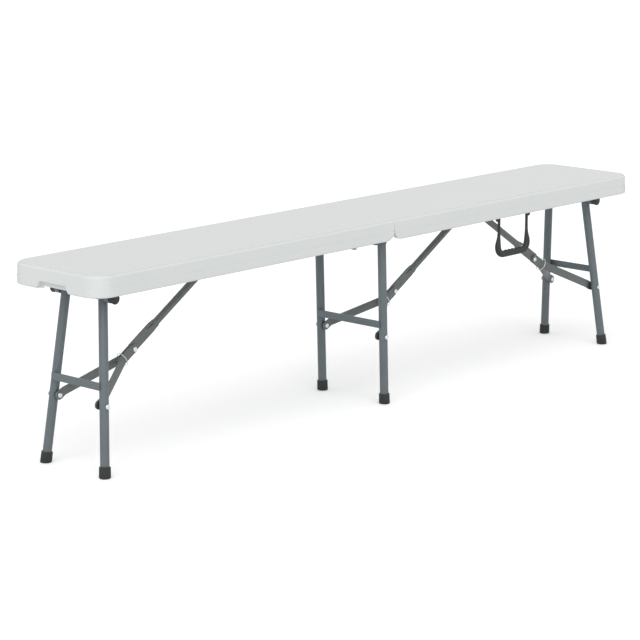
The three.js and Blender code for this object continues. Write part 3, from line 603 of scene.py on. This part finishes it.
def round_the_rims(body):
    rim_z = seat_top - panel_rise

    def on_rim(at, along):
        level = abs(at.z - rim_z) < hair and abs(along.z) < hair
        return level and at.x > seam_x + hair and depth_inside(at) < step_out + millimetre
    edit(body)
    choose(body, "EDGE", on_rim)
    bpy.ops.mesh.bevel(offset=top_round, segments=6, profile=0.5, affect="EDGES")
    choose(body, "EDGE", lambda at, along: at.z < skirt_bottom + hair and abs(along.z) < hair)
    bpy.ops.mesh.bevel(offset=lower_round, segments=5, profile=0.5, affect="EDGES")
    leave_edit()


right_seat = raised_outline()
cut(right_seat, rim_tool())
round_the_rims(right_seat)
print("outline of the right half:", len(right_seat.data.polygons), "faces")

# %% [markdown]
# The rest is cut away from below: the hollow with its tack-offs, the handle's pocket, and the lower part of
# the wall at the seam. The skirt's corner beside the seam is rounded off. The finger notch in the end is a
# recess about a centimetre deep with flaring sides, and the thin wall behind it stops short of the bottom.

# %% Cut the right half
notch_half = 40 * millimetre
notch_height = 17 * millimetre
notch_setback = 11.5 * millimetre
notch_flare = 1.3
notch_sill = 4.5 * millimetre
pocket_start = (handle_x - pocket_length / 2) * millimetre
pocket_end = (handle_x + pocket_length / 2) * millimetre
pocket_depth = 15 * millimetre


def seam_round_tool():
    reach = seat_half_width + overrun
    tool = box_tool(seam_x - overrun, seam_x + seam_lower_round, -reach, reach,
                    skirt_bottom - overrun, skirt_bottom + seam_lower_round)
    bpy.ops.mesh.primitive_cylinder_add(
        radius=seam_lower_round, depth=3 * reach, vertices=64, rotation=(math.pi / 2, 0, 0),
        location=(seam_x + seam_lower_round, 0, skirt_bottom + seam_lower_round))
    roller = bpy.context.object
    settle(roller)
    cut(tool, roller)
    return tool


def notch_tool():
    tool = box_tool(seat_end - notch_setback, seat_end + overrun, -notch_half, notch_half,
                    skirt_bottom - overrun, skirt_bottom + notch_height)
    edit(tool)
    choose(tool, "VERT", lambda at, _: at.z < skirt_bottom)
    bpy.ops.transform.resize(value=(1, notch_flare, 1))
    leave_edit()
    return tool


cut(right_seat, hollow_tool())
cut(right_seat, box_tool(pocket_start, pocket_end,
                         -skirt_inside, -skirt_inside + pocket_width * millimetre,
                         deck_under - overrun, deck_under + pocket_depth))
cut(right_seat, box_tool(seam_x - overrun, seam_x + seam_wall + overrun, -skirt_inside, skirt_inside,
                         skirt_bottom - overrun, seam_wall_bottom))
cut(right_seat, seam_round_tool())
cut(right_seat, notch_tool())
cut(right_seat, box_tool(seat_end - skirt_wall - overrun, seat_end - notch_setback + overrun,
                         -notch_half, notch_half, skirt_bottom - overrun, skirt_bottom + notch_sill))
soften(right_seat, seat_edge_round)
print("right half:", len(right_seat.data.polygons), "faces")

# %% [markdown]
# The left half came out of the same kind of mould, mirrored. A mirrored copy has its faces turned inside out,
# so its normals are made consistent again before it is handed over. Then each half's normals are weighted by
# the area of the faces, which keeps the broad flats even right up to the small rounds at their edges.

# %% Mirror the left half
alone(right_seat)
bpy.ops.object.duplicate()
left_seat = bpy.context.object
left_seat.scale.x = -1
settle(left_seat)
edit(left_seat)
face_outwards()
leave_edit()
hand_over(right_seat, "seat_half_right", "seat_plastic", "right_half", "seat_right")
hand_over(left_seat, "seat_half_left", "seat_plastic", "left_half", "seat_left")
for half in (right_seat, left_seat):
    modify(half, "WEIGHTED_NORMAL", keep_sharp=True)
print("seat halves:", right_seat.name, left_seat.name)

# %% [markdown]
# ## Legs
# Each leg is a plain round tube. A cylinder without caps gets its wall from a Solidify modifier, and a small
# bevel rounds the sawn ends. It is laid between two points: the head above the pivot, and the foot.

# %% Model a tube between two points
leg_radius = 10 * millimetre
leg_wall = 1.2 * millimetre
leg_head = 11 * millimetre


def turned_along(direction):
    return direction.to_track_quat("Z", "Y").to_euler()


def tube_between(start, end, radius, wall, sides=48):
    axis = end - start
    bpy.ops.mesh.primitive_cylinder_add(
        radius=radius, depth=axis.length, vertices=sides, end_fill_type="NOTHING",
        location=(start + end) / 2, rotation=turned_along(axis))
    tube = bpy.context.object
    settle(tube)
    modify(tube, "SOLIDIFY", thickness=wall, offset=-1)
    soften(tube, wall / 4)
    return tube


print("leg tubes are", round(2 * leg_radius / millimetre), "mm across")

# %% [markdown]
# The three frames share one recipe. A frame knows where its legs turn, how far apart they are at the top, and
# where they meet the floor, in millimetres. Spreads count from the bench's middle line to each side, and the
# foot's x from the seam. The end frames splay in both directions; the centre frame stands almost upright.

# %% Place the frames
def joint_named(name):
    return next(joint for joint in frame["joints"] if joint["name"] == name)


class FrameSizes:
    def __init__(self, name, pivot_spread, foot_x, foot_spread):
        self.name = name
        self.pivot = Vector(joint_named(name + "_leg_fold")["pos_m"])
        self.pivot_spread = pivot_spread * millimetre
        self.foot_x = foot_x * millimetre
        self.foot_spread = foot_spread * millimetre

    def leg_line(self, side):
        top = Vector((self.pivot.x, side * self.pivot_spread, self.pivot.z))
        return top, Vector((self.foot_x, side * self.foot_spread, 0))


leg_frames = [FrameSizes("left", pivot_spread=57.1, foot_x=-862.8, foot_spread=93.3),
              FrameSizes("centre", pivot_spread=98.3, foot_x=12.9, foot_spread=98.3),
              FrameSizes("right", pivot_spread=57.1, foot_x=862.8, foot_spread=93.3)]
side_names = {-1: "front", 1: "back"}
for sizes in leg_frames:
    top, bottom = sizes.leg_line(1)
    lean = math.degrees((top - bottom).angle(Vector((0, 0, 1))))
    print(sizes.name, "legs lean", round(lean, 1), "degrees")

# %% [markdown]
# A foot is a moulded cap, drawn upright at first. It is a ribbed cylinder, a little wider at the bottom,
# with a socket for the tube in its top. Then it is laid along its leg, cut level with the floor, and
# chamfered round the sole.

# %% Model the legs and feet
foot_radius = 12.4 * millimetre
foot_height = 24 * millimetre
foot_floor = 5 * millimetre
foot_top_share = 0.97
foot_flare = 1.04
foot_lip = 0.6 * millimetre
foot_chamfer = 2.2 * millimetre
foot_ribs = 20
rib_margin = 0.35 * millimetre
rib_height = 0.4 * millimetre


def foot_cap(bottom, upward):
    bpy.ops.mesh.primitive_cylinder_add(
        radius=foot_radius * foot_top_share, depth=foot_height + overrun, vertices=2 * foot_ribs,
        location=(0, 0, (foot_height - overrun) / 2))
    cap = bpy.context.object
    settle(cap)
    edit(cap)
    choose(cap, "VERT", lambda at, _: at.z < 0)
    bpy.ops.transform.resize(value=(foot_flare, foot_flare, 1))
    sector = math.pi / foot_ribs

    def on_rib(at, normal):
        return abs(normal.z) < 0.5 and round(math.atan2(at.y, at.x) / sector - 0.5) % 2 == 0
    choose(cap, "FACE", on_rib)
    bpy.ops.mesh.inset(thickness=rib_margin, depth=rib_height, use_individual=True)
    choose(cap, "FACE", lambda at, normal: normal.z > 0.9)
    bpy.ops.mesh.inset(thickness=foot_radius - leg_radius - foot_lip, depth=0)
    lift_sheet(foot_floor - foot_height)
    leave_edit()
    cap.rotation_euler = turned_along(upward)
    cap.location = bottom
    settle(cap)
    edit(cap)
    select_everything()
    bpy.ops.mesh.bisect(plane_co=(0, 0, 0), plane_no=(0, 0, 1), clear_inner=True, use_fill=True)
    choose(cap, "FACE", lambda at, normal: normal.z < -0.9 and at.z < millimetre)
    bpy.ops.mesh.region_to_loop()
    bpy.ops.mesh.bevel(offset=foot_chamfer, segments=3, affect="EDGES")
    leave_edit()
    return cap


for sizes in leg_frames:
    for side, side_name in side_names.items():
        top, bottom = sizes.leg_line(side)
        upward = (top - bottom).normalized()
        leg = tube_between(bottom + upward * foot_floor, top + upward * leg_head, leg_radius, leg_wall)
        hand_over(leg, f"{sizes.name}_{side_name}_leg_tube", "leg_steel", f"{sizes.name}_legs",
                  f"{sizes.name}_leg_{side_name}")
        cap = foot_cap(bottom, upward)
        hand_over(cap, f"{sizes.name}_{side_name}_foot_cap", "black_plastic", f"{sizes.name}_legs",
                  f"{sizes.name}_foot_{side_name}")
print("legs and feet for", len(leg_frames), "frames")

# %% [markdown]
# ## Steel that the frame already has right
# Braces, struts, crossbars and brackets are bent or pressed sheet, and the frame holds them exactly. A copy
# is enough: its loose triangles are merged, flat areas are joined into single faces, and the edges get the
# small round that a real sheared edge has. The copy then stands for the node. Struts and brace arms stay in
# the steel's slot, and their material becomes the braces' greener grey, which is painted shade from the seat
# above them.

# %% Copy the frame's steel
same_place = 0.01 * millimetre
flat_limit = math.radians(1)


def rounded_copy(node, name, slot, edge_round):
    original = frame["nodes"][node]
    body = original["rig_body"]
    mesh = original.data.copy()
    copy = bpy.data.objects.new(name, mesh)
    bpy.context.scene.collection.objects.link(copy)
    edit(copy)
    bpy.ops.mesh.customdata_custom_splitnormals_clear()
    select_everything()
    bpy.ops.mesh.remove_doubles(threshold=same_place)
    bpy.ops.mesh.dissolve_limited(angle_limit=flat_limit)
    leave_edit()
    soften(copy, edge_round)
    return hand_over(copy, name, slot, body, node)


print("faces within", round(math.degrees(flat_limit)), "degree of each other become one")

# %% Round off the copies
sheet_round = 0.5 * millimetre
bar_round = 0.8 * millimetre
strut_round = 0.3 * millimetre
axle_round = 0.2 * millimetre
plug_round = 0.6 * millimetre

for sizes in leg_frames:
    part = sizes.name
    rounded_copy(f"{part}_crossbar", f"{part}_flat_crossbar", "leg_steel", bar_round)
    strut = rounded_copy(f"{part}_strut", f"{part}_pressed_strut", "leg_steel", strut_round)
    # Struts and arms wear the greener grey, which is painted shade from the seat above.
    strut.data.materials[0] = brace_steel_painted_shade
    rounded_copy(f"{part}_pivot_tube", f"{part}_pivot_axle", "leg_steel", axle_round)
    for side_name in side_names.values():
        arm = rounded_copy(f"{part}_brace_arm_{side_name}", f"{part}_{side_name}_bent_arm", "leg_steel",
                           sheet_round)
        arm.data.materials[0] = brace_steel_painted_shade
for node in ("hinge_leaf_left", "hinge_leaf_right", "leg_bracket_left", "leg_bracket_right",
             "strut_anchor_left", "strut_anchor_right"):
    rounded_copy(node, f"steel_{node}", "leg_steel", sheet_round)
rounded_copy("hinge_pin", "seam_hinge_pin", "zinc", sheet_round)
rounded_copy("handle_bracket", "handle_hanger", "black_plastic", sheet_round)
for part in ("left", "right"):
    for side_name in side_names.values():
        rounded_copy(f"{part}_tube_plug_{side_name}", f"{part}_{side_name}_end_plug", "black_plastic",
                     plug_round)
print("copies rounded off")

# %% [markdown]
# ## Bolts and rivets
# The legs' bolts and the elbows' rivets are tubular: a bright rim with a dimple in its middle. Each head is
# a short cylinder, bevelled to a dome and inset to a dimple.

# %% Model a domed head
head_radius = 5.5 * millimetre
dome_share = 0.6
dimple_edge_share = 0.22
dimple_slope_share = 0.12
dimple_depth_share = 0.45


def disc(radius, thickness, centre, outward, sides=40):
    bpy.ops.mesh.primitive_cylinder_add(radius=radius, depth=thickness, vertices=sides, location=(0, 0, 0))
    round_piece = bpy.context.object
    round_piece.rotation_euler = turned_along(outward)
    round_piece.location = centre
    return round_piece


def domed_head(radius, thickness, centre, outward):
    head = disc(radius, thickness, (0, 0, 0), Vector((0, 0, 1)))
    near_top = 0.4 * thickness
    edit(head)
    choose(head, "EDGE", lambda at, along: at.z > near_top and abs(along.z) < 0.1)
    bpy.ops.mesh.bevel(offset=thickness * dome_share, segments=4, affect="EDGES")
    choose(head, "FACE", lambda at, normal: normal.z > 0.99 and at.z > near_top)
    bpy.ops.mesh.inset(thickness=radius * dimple_edge_share, depth=0)
    bpy.ops.mesh.inset(thickness=radius * dimple_slope_share, depth=-thickness * dimple_depth_share)
    leave_edit()
    head.rotation_euler = turned_along(outward)
    head.location = centre
    return head


def joined(pieces):
    alone(pieces[0])
    for piece in pieces:
        piece.select_set(True)
    bpy.ops.object.transform_apply(location=True, rotation=True, scale=True)
    bpy.ops.object.join()
    return bpy.context.object


print("heads are", round(2 * head_radius / millimetre), "mm across")

# %% [markdown]
# A leg's bolt has a head outside the leg and another inside the brace arm's tab. A black disc sits beside
# each bolt, between leg and arm. A rivet has one head, on the outer face of its brace arm, and its shank ends
# in the strut's slot.

# %% Model bolts, spacers and rivets
shank_radius = 3 * millimetre
bolt_head_height = 3 * millimetre
rivet_head_height = 2 * millimetre
black_disc_radius = 10 * millimetre
black_disc_thickness = 4 * millimetre
black_disc_gap = 0.3 * millimetre
black_disc_round = 0.8 * millimetre


def leg_bolt(node, side):
    low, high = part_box(node)
    middle = (low + high) / 2
    outward = Vector((0, side, 0))
    outer_y, inner_y = (high.y, low.y) if side > 0 else (low.y, high.y)
    outer = Vector((middle.x, outer_y - side * bolt_head_height / 2, middle.z))
    inner = Vector((middle.x, inner_y + side * bolt_head_height / 2, middle.z))
    shank = disc(shank_radius, (outer - inner).length, middle, outward, sides=24)
    return joined([domed_head(head_radius, bolt_head_height, outer, outward),
                   domed_head(head_radius, bolt_head_height, inner, -outward), shank])


# A black disc beside the brace arm's tab, at the leg bolt.
def black_disc_beside(arm_node, bolt_middle, side):
    low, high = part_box(arm_node)
    face_y = high.y if side > 0 else low.y
    centre = Vector((bolt_middle.x, face_y + side * (black_disc_gap + black_disc_thickness / 2), bolt_middle.z))
    black_disc = disc(black_disc_radius, black_disc_thickness, centre, Vector((0, side, 0)))
    settle(black_disc)
    soften(black_disc, black_disc_round, segments=3)
    return black_disc


def elbow_rivet(node, side):
    low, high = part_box(node)
    middle = (low + high) / 2
    outward = Vector((0, side, 0))
    outer_y, inner_y = (high.y, low.y) if side > 0 else (low.y, high.y)
    outer = Vector((middle.x, outer_y - side * rivet_head_height / 2, middle.z))
    head = domed_head(head_radius, rivet_head_height, outer, outward)
    shank_length = abs(outer_y - inner_y) - rivet_head_height / 2
    shank_y = (outer_y + inner_y) / 2 - side * rivet_head_height / 4
    shank_middle = Vector((middle.x, shank_y, middle.z))
    shank = disc(shank_radius, shank_length, shank_middle, outward, sides=24)
    return joined([head, shank])


print("helpers for bolts, spacers and rivets are ready")

# %% Place bolts, spacers and rivets
for sizes in leg_frames:
    for side, side_name in side_names.items():
        part = sizes.name
        bolt_node = f"{part}_leg_bolt_{side_name}"
        low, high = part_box(bolt_node)
        hand_over(leg_bolt(bolt_node, side), f"{part}_{side_name}_tubular_bolt", "zinc", f"{part}_legs",
                  bolt_node)
        hand_over(black_disc_beside(f"{part}_brace_arm_{side_name}", (low + high) / 2, side),
                  f"{part}_{side_name}_bolt_spacer", "black_plastic", f"{part}_legs")
        rivet_node = f"{part}_elbow_rivet_{side_name}"
        hand_over(elbow_rivet(rivet_node, side), f"{part}_{side_name}_elbow_rivet_head", "zinc",
                  f"{part}_brace", rivet_node)
print("bolts, spacers and rivets in place")

# %% [markdown]
# ## Lock rings
# A closed ring of bright wire slides along the brace and keeps the elbow straight. The frame holds it as two
# arcs; here it is one oval, a little taller than wide. The back arc's widest point tells where along the
# bench and how high its centre is, and the joint that it slides on tells which way it faces, with a little
# lean from hanging.

# %% Bend the lock rings
ring_half_width = 13.4 * millimetre
ring_half_height = 16.2 * millimetre
wire_radius = 1.6 * millimetre
ring_lean = math.radians(-3)


def wire_oval(centre, facing):
    bpy.ops.curve.primitive_bezier_circle_add(radius=1, location=(0, 0, 0))
    oval = bpy.context.object
    oval.scale = (ring_half_width, ring_half_height, 1)
    settle(oval)
    oval.data.bevel_depth = wire_radius
    oval.data.bevel_resolution = 6
    oval.data.resolution_u = 18
    bpy.ops.object.convert(target="MESH")
    ring = bpy.context.object
    ring.rotation_euler = turned_along(facing)
    ring.location = centre
    return ring


for sizes in leg_frames:
    part = sizes.name
    halves = [f"{part}_lock_ring_front", f"{part}_lock_ring_back"]
    widest = max((v.co for v in frame["nodes"][halves[1]].data.vertices), key=lambda at: at.y)
    along = Vector(joint_named(part + "_ring_slide")["axis"]).normalized()
    across = Vector((-along.z * math.copysign(1, along.x), 0, abs(along.x)))
    facing = along * math.cos(ring_lean) + across * math.sin(ring_lean)
    hand_over(wire_oval((widest.x, 0, widest.z), facing), f"{part}_wire_lock_ring", "zinc", f"{part}_ring",
              *halves)
print("lock rings bent")

# %% [markdown]
# ## Carrying handle
# The handle is one soft black moulding: two thin arms that swell into a thick U, with finger ridges along the
# inside of the grip. A curve with a round bevel and its own radius at each point gives the swelling U. Each
# station says how far it lies outside the arm's line and above its starting height, in millimetres, and its
# share of the radius.

# %% Bend the handle's U
handle_low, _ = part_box("handle")
handle_pivot = Vector(joint_named("handle_swing")["pos_m"])
arm_half = 53 * millimetre
arm_radius = 3.9 * millimetre
grip_radius = 7.7 * millimetre
grip_clearance = 1.6 * millimetre
grip_z = handle_low.z + grip_clearance + grip_radius


def stations(height, radius, rows):
    return [(arm_half + out * millimetre, height + up * millimetre, radius * share)
            for out, up, share in rows]


top_of_arm = stations(handle_pivot.z, arm_radius, [(0, 3, 1), (0, -26, 0.95)])
swell = stations(grip_z, arm_radius, [(0, 43, 1.05), (2, 31, 1.75)])
bend = stations(grip_z, grip_radius, [(3.5, 20, 1.08), (0.5, 7.5, 1.1)])
grip = stations(grip_z, grip_radius, [(-10, 0, 1.06), (-22, 0, 1.06), (-40, 0, 1.06)])
half_line = top_of_arm + swell + bend + grip
bpy.ops.curve.primitive_bezier_curve_add(location=(0, 0, 0))
handle_curve = bpy.context.object
curve = handle_curve.data
curve.splines.clear()
line = curve.splines.new("NURBS")
whole_line = half_line + [(-x, z, radius) for x, z, radius in reversed(half_line)]
line.points.add(len(whole_line) - 1)
for point, (x, z, radius) in zip(line.points, whole_line):
    point.co = (handle_pivot.x + x, handle_pivot.y, z, 1)
    point.radius = radius / grip_radius
line.use_endpoint_u = True
line.order_u = 4
line.resolution_u = 12
curve.dimensions = "3D"
curve.bevel_depth = grip_radius
curve.bevel_resolution = 10
curve.use_fill_caps = True
alone(handle_curve)
bpy.ops.object.convert(target="MESH")
handle_body = bpy.context.object
print("handle's U:", len(handle_body.data.polygons), "faces")

# %% [markdown]
# The ridges are small rings round the grip, set a little high, so that they stand out on the inside of the U
# alone. A short pin at the top of each arm holds the handle in its bracket. All of it is flattened a little,
# so that the folded bench has room for it, and a voxel remesh melts it into one skin.

# %% Add ridges and pins, and melt them together
grip_flatness = 0.86
ridge_count = 5
ridge_pitch = 13 * millimetre
ridge_radius = grip_radius - 3.1 * millimetre
ridge_thickness = 2.4 * millimetre
ridge_lift = 2.8 * millimetre
pin_radius = 2.2 * millimetre
pin_length = 8 * millimetre
pin_shift = 3.4 * millimetre
melt_size = 0.8 * millimetre
along_bench = (0, math.pi / 2, 0)

additions = []
for i in range(ridge_count):
    x = handle_pivot.x + (i - (ridge_count - 1) / 2) * ridge_pitch
    bpy.ops.mesh.primitive_torus_add(
        major_radius=ridge_radius, minor_radius=ridge_thickness, major_segments=32, minor_segments=12,
        location=(x, handle_pivot.y, grip_z + ridge_lift), rotation=along_bench)
    additions.append(bpy.context.object)
for side in (-1, 1):
    x = handle_pivot.x + side * (arm_half + pin_shift)
    bpy.ops.mesh.primitive_cylinder_add(radius=pin_radius, depth=pin_length, vertices=24,
                                        location=(x, handle_pivot.y, handle_pivot.z), rotation=along_bench)
    additions.append(bpy.context.object)
handle_body = joined([handle_body] + additions)
edit(handle_body)
select_everything()
bpy.ops.transform.resize(value=(1, grip_flatness, 1), center_override=handle_pivot)
leave_edit()
modify(handle_body, "REMESH", mode="VOXEL", voxel_size=melt_size)
modify(handle_body, "SMOOTH", factor=0.5, iterations=4)
hand_over(handle_body, "moulded_handle", "black_plastic", "handle_bail", "handle")
print("handle:", len(handle_body.data.polygons), "faces")

# %% [markdown]
# ## Finish
# The picture keeps Blender's plain Standard view.

# %% Set the view
bpy.context.scene.view_settings.view_transform = "Standard"
